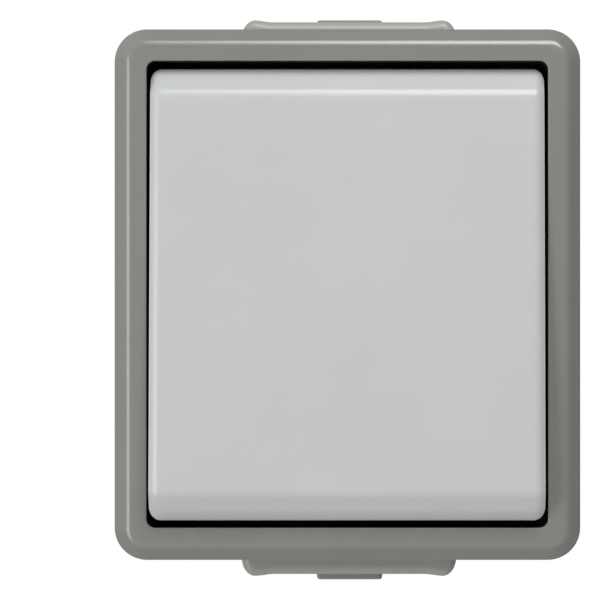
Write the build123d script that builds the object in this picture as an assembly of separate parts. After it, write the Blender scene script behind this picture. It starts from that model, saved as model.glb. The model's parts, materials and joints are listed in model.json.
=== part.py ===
from build123d import *
from math import cos, radians, sin
import os

# Surface-mounted pushbutton switch for damp rooms.
# Every piece is worked out lying on its back: X is the width, Y the height up
# the wall and Z the distance from the wall, all in millimetres. stand_up() then
# turns it to stand on the wall: X stays, +Z is up and the button faces -Y.

# Cover
COVER_WIDTH = 66.0
COVER_HEIGHT = 75.2
COVER_CORNER = 4.6
COVER_FACE = 46.0
COVER_WALL = 2.0
COVER_BAND = 1.95
COVER_CREST_ROUND = 1.25
COVER_EDGE_ROUND = 1.3
OPENING_WIDTH = 56.7
OPENING_HEIGHT = 65.8
OPENING_CORNER = 1.25
OPENING_EDGE_ROUND = 0.25
FACE_THICKNESS = 2.0
LINING = 0.5
LINING_SETBACK = 0.4
LIP_WALL = 0.9
LIP_END = 37.2
DRIP_LIP = 0.65
DRIP_LIP_END = 25.9

# Back box, on the wall
SHOULDER = 26.5
BOX_WIDTH = 64.6
BOX_HEIGHT = 73.6
BOX_CORNER = 4.0
BOX_DRAFT = 1.3
BOX_FLOOR = 3.0
BACK_RECESS = 0.8
BACK_RIM = 3.2
SPIGOT_TOP = 33.0
SPIGOT_WALL = 1.4
SPIGOT_GAP = 0.2
GASKET_HEIGHT = 1.0
GASKET_GAP = 0.15
POST_X = 24.5
POST_Y = 28.5
POST_RADIUS = 3.2
POST_WEB = 1.6
PEG_RADIUS = 1.4
SCREW_SLOT_Y = 27.0
SCREW_SLOT_WIDTH = 4.6
SCREW_SLOT_LENGTH = 8.0
SCREW_PAD_MARGIN = 2.5
SCREW_PAD_RISE = 1.2
REAR_DISC_RADIUS = 9.4
DRAIN_X = 23.0
DRAIN_Z = 7.0
DRAIN_RADIUS = 1.7
GROOVE_WIDTH = 0.8
GROOVE_DEPTH = 1.2

# Snap hooks of the cover and their windows in the box
HOOK_Y = 18.0
HOOK_WIDTH = 6.0
HOOK_REACH = 1.1
HOOK_LOW = 28.8
HOOK_HIGH = 30.6
HOOK_PLAY = 0.4

# Cable spouts at the top and bottom of the box
SPOUT_HALF_WIDTH = 15.9
SPOUT_REACH = 40.9
SPOUT_EAR = 0.28
SPOUT_CORNER_WIDTH = 2.0
SPOUT_CORNER_HEIGHT = 2.7
SPOUT_FLAT_HALF = 11.2
SPOUT_BACK = 1.0
SPOUT_FRONT = 25.4
SPOUT_EDGE_ROUND = 1.3
PASSAGE_WIDTH = 23.0
PASSAGE_DEPTH = 15.4
PASSAGE_CORNER = 4.0
PASSAGE_CENTRE = 11.0
MOUTH_MARGIN = 1.5
MOUTH_DEPTH = 1.3
MEMBRANE_REACH = 6.0
MEMBRANE_PLAY = 0.1
MEMBRANE_WALL = 1.2
MEMBRANE_SETBACK = 0.35
STUB_WIDTH = 10.5
STUB_DEPTH = 9.8
STUB_CENTRE = 10.2
STUB_CORNER = 1.0
STUB_TAPER = 8.0
STUB_TIP = 42.35
STUB_EDGE_ROUND = 0.3

# Button, its carrier and the axis they rock on
PIVOT = 41.0
PIN_RADIUS = 2.0
PIN_CLEARANCE = 0.03
REST_TILT = 3.3
BUTTON_WIDTH = 55.7
BUTTON_HEIGHT = 63.8
BUTTON_SHIFT = -0.2
BUTTON_FACE = 48.1
BUTTON_FOOT = 41.0
BUTTON_WALL = 1.9
BUTTON_CORNER = 1.8
BEVEL_WIDTH = 3.5
BEVEL_DROP = 2.0
BUTTON_CREST_ROUND = 2.3
BUTTON_SIDE_ROUND = 1.6
BUTTON_END_ROUND = 0.7
RIB_WIDTH = 1.0
RIB_HEIGHT = 1.3
RIB_X = 20.0
RIB_Y = (-24.0, 20.5)
CARRIER_HALF = 13.6
CARRIER_Y = (-17.2, 15.0)
CARRIER_LOW = 43.3
CARRIER_HUB = 3.2
CLIP_X = 10.0
CLIP_Y = 10.5
CLIP_RADIUS = 1.5
CLIP_BARB = 0.25
CHEEK_INNER = 14.2
CHEEK_OUTER = 17.2
CHEEK_HALF = 4.5
CHEEK_RADIUS = 3.0
CAM_ARM = 15.0
CAM_DROP = 5.0
CAM_RADIUS = 1.5
CAM_HALF_WIDTH = 4.0
STOP_X = 5.0
STOP_Y = 13.0
STOP_HALF = 1.5
STOP_TOP = 42.25

# Black tray between the cover's lip and the insert
TRAY_RIM_TOP = 41.0
TRAY_RIM = 0.9
TRAY_WEB = 1.0
TRAY_PLAY = 0.05
TRAY_WINDOW_X = 17.7
TRAY_WINDOW_Y = (-19.6, 15.8)
TRAY_FOOT = 1.0

# Switch insert in the middle of the box
SOCKET_HALF_WIDTH = 19.0
SOCKET_HALF_HEIGHT = 21.0
SOCKET_BACK = 9.5
SOCKET_CORNER = 2.0
SOCKET_FLOOR = 12.0
PLATE_LOW = 28.5
PLATE_THICKNESS = 1.2
PLATE_WIDTH = 56.0
PLATE_HEIGHT = 65.0
PLATE_CORNER = 3.0
PLATE_SLOT_Y = 27.0
PLATE_SLOT_LENGTH = 22.0
PLATE_SLOT_WIDTH = 5.0
CAP_TOP = 35.5
CAP_ROOF = 1.8
WELL_HALF_WIDTH = 8.0
WELL_HIGH_Y = 15.0
INSERT_SCREW_X = 12.2
INSERT_SCREW_Y = (-7.5, 17.6)
INSERT_SCREW_RADIUS = 1.0
INSERT_SCREW_FOOT = 21.0
PLATE_SCREW_RADIUS = 1.2
PLATE_SCREW_LENGTH = 7.0
SCREW_PLAY = 0.35
DRIVER_SLOT = 0.6
PLUNGER_WIDTH = 10.0
PLUNGER_HEIGHT = 7.0
PLUNGER_FOOT = 16.5
PLUNGER_PLAY = 0.15
PLUNGER_GAP = 0.05
CHAMBER_HALF_WIDTH = 16.8
CHAMBER_HALF_HEIGHT = 4.0
SPRING_WELL_HALF = 7.5
SPRING_PLAY = 0.05
SPRING_SEAT_TOP = 19.4
SPRING_SEAT_RADIUS = 2.9
RETURN_WIRE = 0.6
RETURN_RADIUS = 2.2
RETURN_TURNS = 6
BRIDGE_WIRE = 0.45
BRIDGE_RADIUS = 1.6
BRIDGE_TURNS = 5
BRIDGE_WINDOW_TOP = 27.0

# Contacts and terminals
CONTACT_X = 11.0
CONTACT_HALF_WIDTH = 2.0
CONTACT_INNER = 9.0
PAD_TOP = 18.0
RIVET_HEIGHT = 0.9
RIVET_RADIUS = 1.5
CONTACT_GAP = 1.8
STRIP = 0.8
STRIP_X = 15.2
STRIP_FOOT = 15.0
POCKET_PLAY = 0.2
BLOCK_X = (11.2, 16.6)
BLOCK_Y = (4.6, 12.4)
BLOCK_Z = 17.0
BLOCK_HALF_DEPTH = 4.0
WIRE_HOLE_X = 13.4
WIRE_HOLE_Y = 8.5
WIRE_HOLE_RADIUS = 1.6
TERMINAL_THREAD = 1.5
TAPPED_PLAY = 0.05
TERMINAL_HEAD = 2.0

# Worked out from the sizes above
CUT = 1.0
SKIRT_INNER_WIDTH = COVER_WIDTH - 2 * COVER_WALL
SKIRT_INNER_HEIGHT = COVER_HEIGHT - 2 * COVER_WALL
SKIRT_INNER_CORNER = COVER_CORNER - COVER_WALL
LINING_FRONT = COVER_FACE - LINING_SETBACK
LIP_WIDTH = OPENING_WIDTH + 2 * (LINING + LIP_WALL)
LIP_HEIGHT = OPENING_HEIGHT + 2 * (LINING + LIP_WALL)
LIP_CORNER = OPENING_CORNER + LINING + LIP_WALL
SPIGOT_WIDTH = SKIRT_INNER_WIDTH - 2 * SPIGOT_GAP
SPIGOT_HEIGHT = SKIRT_INNER_HEIGHT - 2 * SPIGOT_GAP
SPIGOT_CORNER = SKIRT_INNER_CORNER - SPIGOT_GAP
CAVITY_WIDTH = SPIGOT_WIDTH - 2 * SPIGOT_WALL
CAVITY_HEIGHT = SPIGOT_HEIGHT - 2 * SPIGOT_WALL
CAVITY_CORNER = SPIGOT_CORNER - SPIGOT_WALL
MOUTH_WIDTH = PASSAGE_WIDTH + 2 * MOUTH_MARGIN
MOUTH_HEIGHT = PASSAGE_DEPTH + 2 * MOUTH_MARGIN
MOUTH_CORNER = PASSAGE_CORNER + MOUTH_MARGIN / 2
MOUTH_FLOOR = SPOUT_REACH - MOUTH_DEPTH
PLATE_TOP = PLATE_LOW + PLATE_THICKNESS
BRIDGE_LOW = PAD_TOP + RIVET_HEIGHT + CONTACT_GAP + RIVET_HEIGHT
CAM_NOSE_LOW = PIVOT - CAM_DROP - CAM_RADIUS
BUTTON_CEILING = BUTTON_FACE - BUTTON_WALL
CHAMBER_Y = (-CAM_ARM - CHAMBER_HALF_HEIGHT, -CAM_ARM + CHAMBER_HALF_HEIGHT)


def block(width, height, low, high, x=0.0, y=0.0, corner=0.0):
    """A block standing on Z = low, with its upright edges rounded where corner is given."""
    outline = RectangleRounded(width, height, corner) if corner else Rectangle(width, height)
    return Pos(x, y, low) * extrude(outline, high - low)


def span(x, y, z):
    """A block given by its two limits along each of X, Y and Z."""
    size = (x[1] - x[0], y[1] - y[0], z[1] - z[0])
    middle = ((x[0] + x[1]) / 2, (y[0] + y[1]) / 2, (z[0] + z[1]) / 2)
    return Pos(*middle) * Box(*size)


def post(radius, low, high, x=0.0, y=0.0):
    """A round post or hole along Z."""
    return Pos(x, y, (low + high) / 2) * Cylinder(radius, high - low)


def bar(radius, x_low, x_high, y, z):
    """A round bar or hole along X."""
    turned = Pos((x_low + x_high) / 2, y, z) * Rot(0, 90, 0)
    return turned * Cylinder(radius, x_high - x_low)


def tilted(shape):
    """Turns a level piece of the button about its axis into its rest position, lower end out."""
    return Pos(0, 0, PIVOT) * Rot(-REST_TILT, 0, 0) * Pos(0, 0, -PIVOT) * shape


def together(pieces):
    """Several pieces as one shape; those that do not touch stay separate solids."""
    whole = pieces[0]
    for piece in pieces[1:]:
        whole = whole + piece
    return whole


def stand_up(shape):
    """Turns a piece from lying on its back to hanging on the wall."""
    return Rot(90, 0, 0) * shape


def cover_frame():
    """The front frame: a bevelled and rounded cap with a deep skirt and an inner lip."""
    shape = block(COVER_WIDTH, COVER_HEIGHT, DRIP_LIP_END, COVER_FACE, corner=COVER_CORNER)
    front = shape.faces().sort_by(Axis.Z)[-1]
    shape = chamfer(front.edges(), COVER_BAND)
    crest = shape.faces().sort_by(Axis.Z)[-1].edges()
    shape = fillet(crest, COVER_CREST_ROUND)
    band_foot = shape.edges().filter_by_position(
        Axis.Z, COVER_FACE - COVER_BAND - 0.01, COVER_FACE - COVER_BAND + 0.01
    )
    shape = fillet(band_foot, COVER_EDGE_ROUND)
    inside = block(
        SKIRT_INNER_WIDTH, SKIRT_INNER_HEIGHT, DRIP_LIP_END, COVER_FACE - FACE_THICKNESS,
        corner=SKIRT_INNER_CORNER,
    )
    lip = block(LIP_WIDTH, LIP_HEIGHT, LIP_END, COVER_FACE, corner=LIP_CORNER)
    shape = shape - (inside - lip)
    lining_seat = block(
        OPENING_WIDTH + 2 * LINING, OPENING_HEIGHT + 2 * LINING, DRIP_LIP_END, LINING_FRONT,
        corner=OPENING_CORNER + LINING,
    )
    opening = block(OPENING_WIDTH, OPENING_HEIGHT, DRIP_LIP_END, COVER_FACE, corner=OPENING_CORNER)
    shape = shape - lining_seat - opening
    inner_edge = shape.faces().sort_by(Axis.Z)[-1].inner_wires()[0].edges()
    shape = fillet(inner_edge, OPENING_EDGE_ROUND)
    gasket_rebate = block(
        COVER_WIDTH - 2 * DRIP_LIP, COVER_HEIGHT - 2 * DRIP_LIP, DRIP_LIP_END,
        SHOULDER + GASKET_HEIGHT, corner=COVER_CORNER - DRIP_LIP,
    )
    shape = shape - gasket_rebate
    for side in (-1, 1):
        for y in (-HOOK_Y, HOOK_Y):
            shape = shape + cover_hook(side, y)
    return shape


def cover_hook(side, y):
    """A wedge inside the skirt that snaps into a window of the back box."""
    root = SKIRT_INNER_WIDTH / 2 + 0.3
    tip = SKIRT_INNER_WIDTH / 2 - HOOK_REACH
    profile = Polygon(
        (root, HOOK_LOW), (tip, HOOK_HIGH - 0.4), (tip, HOOK_HIGH), (root, HOOK_HIGH),
        align=None,
    )
    wedge = extrude(Plane.XZ * profile, HOOK_WIDTH / 2, both=True)
    wedge = Pos(0, y, 0) * wedge
    return wedge if side > 0 else mirror(wedge, Plane.YZ)


def opening_lining():
    """The black soft lining moulded into the cover's opening."""
    outer = block(
        OPENING_WIDTH + 2 * LINING, OPENING_HEIGHT + 2 * LINING, LIP_END, LINING_FRONT,
        corner=OPENING_CORNER + LINING,
    )
    inner = block(OPENING_WIDTH, OPENING_HEIGHT, LIP_END, LINING_FRONT, corner=OPENING_CORNER)
    return outer - inner


def splash_seal():
    """The black tray behind the button: a web that ends on the insert, with a rim round the lip."""
    low = LIP_END - TRAY_WEB
    outer = block(
        LIP_WIDTH + 2 * TRAY_RIM, LIP_HEIGHT + 2 * TRAY_RIM, low, TRAY_RIM_TOP, corner=LIP_CORNER
    )
    inner = block(
        LIP_WIDTH + 2 * TRAY_PLAY, LIP_HEIGHT + 2 * TRAY_PLAY, LIP_END, TRAY_RIM_TOP,
        corner=LIP_CORNER,
    )
    window_x = (-TRAY_WINDOW_X, TRAY_WINDOW_X)
    window = span(window_x, TRAY_WINDOW_Y, (CAP_TOP, TRAY_RIM_TOP))
    foot_x = (-TRAY_WINDOW_X - TRAY_FOOT, TRAY_WINDOW_X + TRAY_FOOT)
    foot_y = (TRAY_WINDOW_Y[0] - TRAY_FOOT, TRAY_WINDOW_Y[1] + TRAY_FOOT)
    foot = span(foot_x, foot_y, (CAP_TOP, low + TRAY_WEB / 2))
    return outer - inner + foot - window


def cover_gasket():
    """The flat ring between the cover's skirt and the shoulder of the box."""
    outside = DRIP_LIP + 2 * GASKET_GAP
    inside = COVER_WALL - GASKET_GAP
    top = SHOULDER + GASKET_HEIGHT
    outer = block(
        COVER_WIDTH - 2 * outside, COVER_HEIGHT - 2 * outside, SHOULDER, top,
        corner=COVER_CORNER - outside,
    )
    inner = block(
        COVER_WIDTH - 2 * inside, COVER_HEIGHT - 2 * inside, SHOULDER, top,
        corner=COVER_CORNER - inside,
    )
    return outer - inner


def spout(side):
    """A cable spout: a broad collar with two slightly raised ears and rounded corners."""
    ear_x = SPOUT_HALF_WIDTH - SPOUT_CORNER_WIDTH
    ear_y = SPOUT_REACH + SPOUT_EAR
    corner_y = ear_y - SPOUT_CORNER_HEIGHT
    root = BOX_HEIGHT / 2 - 3.0
    right_side = Line((SPOUT_HALF_WIDTH, root), (SPOUT_HALF_WIDTH, corner_y))
    right_corner = EllipticalCenterArc(
        (ear_x, corner_y), SPOUT_CORNER_WIDTH, SPOUT_CORNER_HEIGHT, arc_size=90
    )
    right_slope = Spline(
        [(ear_x, ear_y), (SPOUT_FLAT_HALF, SPOUT_REACH)], tangents=[(-1, 0), (-1, 0)]
    )
    right = [right_side, right_corner, right_slope]
    left = [mirror(edge, Plane.YZ) for edge in right]
    mouth = Line((-SPOUT_FLAT_HALF, SPOUT_REACH), (SPOUT_FLAT_HALF, SPOUT_REACH))
    base = Line((-SPOUT_HALF_WIDTH, root), (SPOUT_HALF_WIDTH, root))
    outline = make_face(right + left + [mouth, base])
    shape = Pos(0, 0, SPOUT_BACK) * extrude(outline, SPOUT_FRONT - SPOUT_BACK)
    rim = [
        edge
        for face in (shape.faces().sort_by(Axis.Z)[-1], shape.faces().sort_by(Axis.Z)[0])
        for edge in face.edges()
        if edge.center().Y > root + 1
    ]
    shape = fillet(rim, SPOUT_EDGE_ROUND)
    return shape if side > 0 else mirror(shape, Plane.XZ)


def along_y(width, depth, corner, low, high, side, z=PASSAGE_CENTRE):
    """A block with a rounded outline seen along Y, between two distances from the middle."""
    outline = RectangleRounded(width, depth, corner)
    shape = extrude(Plane.XZ * outline, -(high - low))
    shape = Pos(0, low, z) * shape
    return shape if side > 0 else mirror(shape, Plane.XZ)


def stub(shrink, low, high, side):
    """A four-sided stub along Y that tapers outwards, made smaller all round by shrink."""
    outline = RectangleRounded(
        STUB_WIDTH - 2 * shrink, STUB_DEPTH - 2 * shrink, STUB_CORNER - shrink / 2
    )
    shape = extrude(Plane.XZ * outline, high - low, taper=STUB_TAPER)
    shape = Pos(0, low, STUB_CENTRE) * mirror(shape, Plane.XZ)
    return shape if side > 0 else mirror(shape, Plane.XZ)


def back_box():
    """The box on the wall, with its spigot, cable spouts, insert posts and fixing slots."""
    outline = Pos(0, 0, SHOULDER) * RectangleRounded(BOX_WIDTH, BOX_HEIGHT, BOX_CORNER)
    shape = extrude(outline, -SHOULDER, taper=BOX_DRAFT)
    shape = shape + block(
        SPIGOT_WIDTH, SPIGOT_HEIGHT, SHOULDER - CUT, SPIGOT_TOP, corner=SPIGOT_CORNER
    )
    for side in (-1, 1):
        shape = shape + spout(side)
    shape = shape - block(
        CAVITY_WIDTH, CAVITY_HEIGHT, BOX_FLOOR, SPIGOT_TOP, corner=CAVITY_CORNER
    )
    for side in (-1, 1):
        shape = shape - cable_passage(side)
    shape = shape - block(
        BOX_WIDTH - 2 * BACK_RIM, BOX_HEIGHT - 2 * BACK_RIM, 0, BACK_RECESS,
        corner=BOX_CORNER / 2,
    )
    shape = shape + fixing_pads() - fixing_slots() - breakout_grooves()
    for x, y in post_places():
        shape = with_insert_post(shape, x, y)
    for x in (-SPIGOT_WIDTH / 2, SPIGOT_WIDTH / 2):
        for y in (-HOOK_Y, HOOK_Y):
            shape = shape - hook_window(x, y)
    return shape


def cable_passage(side):
    """The way in through a spout, with the wider seat of the membrane at its mouth."""
    wall_inside = CAVITY_HEIGHT / 2 - CUT
    passage = along_y(
        PASSAGE_WIDTH, PASSAGE_DEPTH, PASSAGE_CORNER, wall_inside, SPOUT_REACH + CUT, side
    )
    seat = along_y(
        MOUTH_WIDTH, MOUTH_HEIGHT, MOUTH_CORNER, MOUTH_FLOOR, SPOUT_REACH + CUT, side
    )
    return passage + seat


def post_places():
    """Middles of the four insert posts: screws at two of them, locating pegs at the others."""
    return [(x, y) for x in (-POST_X, POST_X) for y in (-POST_Y, POST_Y)]


def with_insert_post(shape, x, y):
    """The box with one more post, tied to the nearer side wall by a web."""
    low = BOX_FLOOR - CUT / 2
    wall_x = CAVITY_WIDTH / 2 + SPIGOT_GAP
    web_x = sorted((x, wall_x if x > 0 else -wall_x))
    web = span(web_x, (y - POST_WEB / 2, y + POST_WEB / 2), (low, PLATE_LOW - 2))
    shape = shape + post(POST_RADIUS, low, PLATE_LOW, x, y) + web
    if x * y < 0:
        hole_low = PLATE_LOW - PLATE_SCREW_LENGTH - 3
        return shape - post(PLATE_SCREW_RADIUS + PIN_CLEARANCE, hole_low, PLATE_LOW, x, y)
    return shape + post(PEG_RADIUS, PLATE_LOW - CUT, PLATE_TOP + CUT, x, y)


def hook_window(x, y):
    """The hole in the spigot that a hook of the cover snaps into."""
    half = HOOK_WIDTH / 2 + HOOK_PLAY
    depth = SPIGOT_WALL + CUT
    return span(
        (x - depth, x + depth), (y - half, y + half), (HOOK_LOW - HOOK_PLAY, HOOK_HIGH + HOOK_PLAY / 2)
    )


def fixing_pads():
    """Pads round the two wall screws, flush with the rim of the back."""
    width = SCREW_SLOT_WIDTH + 2 * SCREW_PAD_MARGIN
    length = SCREW_SLOT_LENGTH + 2 * SCREW_PAD_MARGIN
    top = BOX_FLOOR + SCREW_PAD_RISE
    return together(
        [block(width, length, 0, top, y=y, corner=4.0) for y in (-SCREW_SLOT_Y, SCREW_SLOT_Y)]
    )


def fixing_slots():
    """The two upright slots for the wall screws."""
    outline = Rot(0, 0, 90) * SlotOverall(SCREW_SLOT_LENGTH, SCREW_SLOT_WIDTH)
    slot = extrude(outline, BOX_FLOOR + SCREW_PAD_RISE)
    return together([Pos(0, y, 0) * slot for y in (-SCREW_SLOT_Y, SCREW_SLOT_Y)])


def breakout_grooves():
    """Round grooves that let the rear cable disc and the two drain discs be broken out."""
    rear_top = BACK_RECESS + GROOVE_DEPTH
    rear = post(REAR_DISC_RADIUS + GROOVE_WIDTH, 0, rear_top) - post(REAR_DISC_RADIUS, 0, rear_top)
    ring = Cylinder(DRAIN_RADIUS + GROOVE_WIDTH, 2 * GROOVE_DEPTH) - Cylinder(
        DRAIN_RADIUS, 2 * GROOVE_DEPTH
    )
    drains = [
        Pos(x, -BOX_HEIGHT / 2, DRAIN_Z) * Rot(90, 0, 0) * ring for x in (-DRAIN_X, DRAIN_X)
    ]
    return together([rear] + drains)


def cable_membrane(side):
    """The soft plug in a spout, with a closed stub to be cut to the cable's size."""
    flange = along_y(
        MOUTH_WIDTH - 2 * MEMBRANE_PLAY, MOUTH_HEIGHT - 2 * MEMBRANE_PLAY, MOUTH_CORNER,
        MOUTH_FLOOR, SPOUT_REACH - MEMBRANE_SETBACK, side,
    )
    body = along_y(
        PASSAGE_WIDTH - MEMBRANE_PLAY, PASSAGE_DEPTH - MEMBRANE_PLAY, PASSAGE_CORNER,
        SPOUT_REACH - MEMBRANE_REACH, MOUTH_FLOOR, side,
    )
    hollow = along_y(
        PASSAGE_WIDTH - 2 * MEMBRANE_WALL, PASSAGE_DEPTH - 2 * MEMBRANE_WALL,
        PASSAGE_CORNER - MEMBRANE_WALL / 2, SPOUT_REACH - MEMBRANE_REACH,
        MOUTH_FLOOR - MEMBRANE_PLAY, side,
    )
    outside = stub(0, MOUTH_FLOOR, STUB_TIP, side)
    tip = outside.faces().sort_by(Axis.Y)[-1 if side > 0 else 0]
    outside = fillet(tip.edges(), STUB_EDGE_ROUND)
    bore = stub(MEMBRANE_WALL, MOUTH_FLOOR - CUT / 2, STUB_TIP - MEMBRANE_WALL, side)
    return flange + body + outside - hollow - bore


def button_outline(inset, face):
    """The button seen from the side, made smaller all round by inset, with its face at a height."""
    half = BUTTON_HEIGHT / 2 - inset
    shoulder = face - BEVEL_DROP
    return Polygon(
        (-half, BUTTON_FOOT), (-half, shoulder), (-half + BEVEL_WIDTH, face),
        (half - BEVEL_WIDTH, face), (half, shoulder), (half, BUTTON_FOOT),
        align=None,
    )


def button_plate():
    """The light grey button: a bevelled shell with ribs and four snap pins inside."""
    half_width = BUTTON_WIDTH / 2
    corners = block(BUTTON_WIDTH, BUTTON_HEIGHT, BUTTON_FOOT, BUTTON_FACE, corner=BUTTON_CORNER)
    inside = Plane.YZ * button_outline(BUTTON_WALL, BUTTON_CEILING)
    shape = button_block() & corners
    shape = shape - extrude(inside, half_width - BUTTON_WALL, both=True)
    return tilted(Pos(0, BUTTON_SHIFT, 0) * (shape + button_ribs()) + snap_pins())


def button_block():
    """The button's outside: round crests and long sides, and crisper edges at the two ends."""
    hair = 0.01
    half_width = BUTTON_WIDTH / 2
    shoulder = BUTTON_FACE - BEVEL_DROP
    shape = extrude(Plane.YZ * button_outline(0, BUTTON_FACE), half_width, both=True)
    crests = shape.faces().sort_by(Axis.Z)[-1].edges().filter_by(Axis.X)
    shape = fillet(crests, BUTTON_CREST_ROUND)
    sides = [
        edge
        for edge in shape.edges()
        if abs(edge.center().X) > half_width - hair and edge.center().Z > shoulder + hair
    ]
    shape = fillet(sides, BUTTON_SIDE_ROUND)
    across = [edge for edge in shape.edges().filter_by(Axis.X) if edge.length > half_width]
    ends = sorted(across, key=end_rank)[-2:]
    return fillet(ends, BUTTON_END_ROUND)


def end_rank(edge):
    """Orders edges by their distance from the middle of the button, then towards its front."""
    return round(abs(edge.center().Y), 3), edge.center().Z


def button_ribs():
    """Stiffening ribs under the face of the button."""
    rib_z = (BUTTON_CEILING - RIB_HEIGHT, BUTTON_CEILING + 0.2)
    wide = BUTTON_WIDTH / 2 - BUTTON_WALL + 0.2
    tall = BUTTON_HEIGHT / 2 - BUTTON_WALL - BEVEL_DROP
    half = RIB_WIDTH / 2
    across = [span((-wide, wide), (y - half, y + half), rib_z) for y in RIB_Y]
    along = [span((x - half, x + half), (-tall, tall), rib_z) for x in (-RIB_X, RIB_X)]
    return together(across + along)


def clip_places():
    """Middles of the four clips between the button and its carrier."""
    return [(x, y) for x in (-CLIP_X, CLIP_X) for y in (-CLIP_Y, CLIP_Y)]


def snap_pins():
    """Four barbed pins that snap through the carrier."""
    head_height = 1.2
    head_top = CARRIER_LOW - 0.1
    pins = []
    for x, y in clip_places():
        shank = post(CLIP_RADIUS, head_top, BUTTON_CEILING + 0.2, x, y)
        head = Cone(CLIP_RADIUS - 0.4, CLIP_RADIUS + CLIP_BARB, head_height)
        pins.append(shank + Pos(x, y, head_top - head_height / 2) * head)
    return together(pins)


def rocker_carrier():
    """The cradle under the button, with its two pivot pins and the cam leg."""
    top = BUTTON_CEILING - 0.05
    root = CARRIER_LOW + 0.5
    wide = (-CARRIER_HALF, CARRIER_HALF)
    shape = span(wide, CARRIER_Y, (CARRIER_LOW, top))
    shape = shape + span(wide, (-CARRIER_HUB, CARRIER_HUB), (PIVOT, root))
    shape = shape + bar(CARRIER_HUB, -CARRIER_HALF, CARRIER_HALF, 0, PIVOT)
    shape = shape + bar(PIN_RADIUS, -CHEEK_OUTER, CHEEK_OUTER, 0, PIVOT)
    tilt = radians(REST_TILT)
    nose_y = -CAM_ARM * cos(tilt) + CAM_DROP * sin(tilt)
    nose_z = PIVOT - CAM_ARM * sin(tilt) - CAM_DROP * cos(tilt)
    cam_x = (-CAM_HALF_WIDTH, CAM_HALF_WIDTH)
    shape = shape + span(cam_x, (nose_y - CAM_RADIUS, nose_y + CAM_RADIUS), (nose_z, root))
    shape = shape + bar(CAM_RADIUS, -CAM_HALF_WIDTH, CAM_HALF_WIDTH, nose_y, nose_z)
    for x, y in clip_places():
        shape = shape - post(CLIP_RADIUS + 0.05, CARRIER_LOW - CUT, top + CUT, x, y)
    return tilted(shape)


def socket_cap():
    """The front half of the insert, with the bearing cheeks and the plunger's guide."""
    shape = block(
        2 * SOCKET_HALF_WIDTH, 2 * SOCKET_HALF_HEIGHT, PLATE_TOP, CAP_TOP, corner=SOCKET_CORNER
    )
    root = CAP_TOP - CUT / 2
    for side in (-1, 1):
        cheek_x = sorted((side * CHEEK_INNER, side * CHEEK_OUTER))
        shape = shape + span(cheek_x, (-CHEEK_HALF, CHEEK_HALF), (root, PIVOT))
        shape = shape + bar(CHEEK_RADIUS, *cheek_x, 0, PIVOT)
        stop_x = (side * STOP_X - STOP_HALF, side * STOP_X + STOP_HALF)
        stop_y = (STOP_Y - STOP_HALF, STOP_Y + STOP_HALF)
        shape = shape + span(stop_x, stop_y, (root, STOP_TOP))
    bore = PIN_RADIUS + PIN_CLEARANCE
    shape = shape - bar(bore, -CHEEK_OUTER - CUT, CHEEK_OUTER + CUT, 0, PIVOT)
    guide_x = PLUNGER_WIDTH / 2 + PLUNGER_PLAY
    guide_y = PLUNGER_HEIGHT / 2 + PLUNGER_PLAY
    shape = shape - span(
        (-guide_x, guide_x), (-CAM_ARM - guide_y, -CAM_ARM + guide_y), (PLATE_TOP, CAP_TOP)
    )
    well_x = (-WELL_HALF_WIDTH, WELL_HALF_WIDTH)
    shape = shape - span(well_x, (-WELL_HALF_WIDTH, WELL_HIGH_Y), (PLATE_TOP, CAP_TOP - CAP_ROOF))
    clearance = INSERT_SCREW_RADIUS + SCREW_PLAY
    sink_depth = 1.4
    for x, y in insert_screw_places():
        shape = shape - post(clearance, PLATE_TOP, CAP_TOP, x, y)
        sink = Cone(clearance, clearance + sink_depth, sink_depth)
        shape = shape - Pos(x, y, CAP_TOP - sink_depth / 2) * sink
    return shape


def insert_screw_places():
    """Middles of the four screws that hold the insert together."""
    return [(x, y) for x in (-INSERT_SCREW_X, INSERT_SCREW_X) for y in INSERT_SCREW_Y]


def support_plate():
    """The steel plate that carries the insert on the box's posts."""
    shape = block(PLATE_WIDTH, PLATE_HEIGHT, PLATE_LOW, PLATE_TOP, corner=PLATE_CORNER)
    window_x = WELL_HALF_WIDTH + 1.0
    window_y = (CHAMBER_Y[0] - 0.5, WELL_HIGH_Y)
    shape = shape - span((-window_x, window_x), window_y, (PLATE_LOW, PLATE_TOP))
    for x, y in post_places():
        shape = shape - post(PEG_RADIUS + POCKET_PLAY, PLATE_LOW, PLATE_TOP, x, y)
    for x, y in insert_screw_places():
        shape = shape - post(INSERT_SCREW_RADIUS + SCREW_PLAY, PLATE_LOW, PLATE_TOP, x, y)
    slot = extrude(SlotOverall(PLATE_SLOT_LENGTH, PLATE_SLOT_WIDTH), PLATE_THICKNESS)
    for y in (-PLATE_SLOT_Y, PLATE_SLOT_Y):
        shape = shape - Pos(0, y, PLATE_LOW) * slot
    return shape


def socket_body():
    """The rear half of the insert, with the contact chamber and terminal pockets."""
    shape = block(
        2 * SOCKET_HALF_WIDTH, 2 * SOCKET_HALF_HEIGHT, SOCKET_BACK, PLATE_LOW, corner=SOCKET_CORNER
    )
    ledge = PAD_TOP - STRIP
    chamber_x = (-CHAMBER_HALF_WIDTH, CHAMBER_HALF_WIDTH)
    shape = shape - span(chamber_x, CHAMBER_Y, (ledge, PLATE_LOW))
    deep = (SOCKET_FLOOR, PLATE_LOW)
    shape = shape - span((-SPRING_WELL_HALF, SPRING_WELL_HALF), CHAMBER_Y, deep)
    shape = shape - span((-WELL_HALF_WIDTH, WELL_HALF_WIDTH), (-WELL_HALF_WIDTH, WELL_HIGH_Y), deep)
    for side in (-1, 1):
        shape = shape - terminal_pocket(side)
    for x, y in insert_screw_places():
        hole = INSERT_SCREW_RADIUS + TAPPED_PLAY
        shape = shape - post(hole, INSERT_SCREW_FOOT - CUT, PLATE_LOW, x, y)
    return shape


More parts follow.
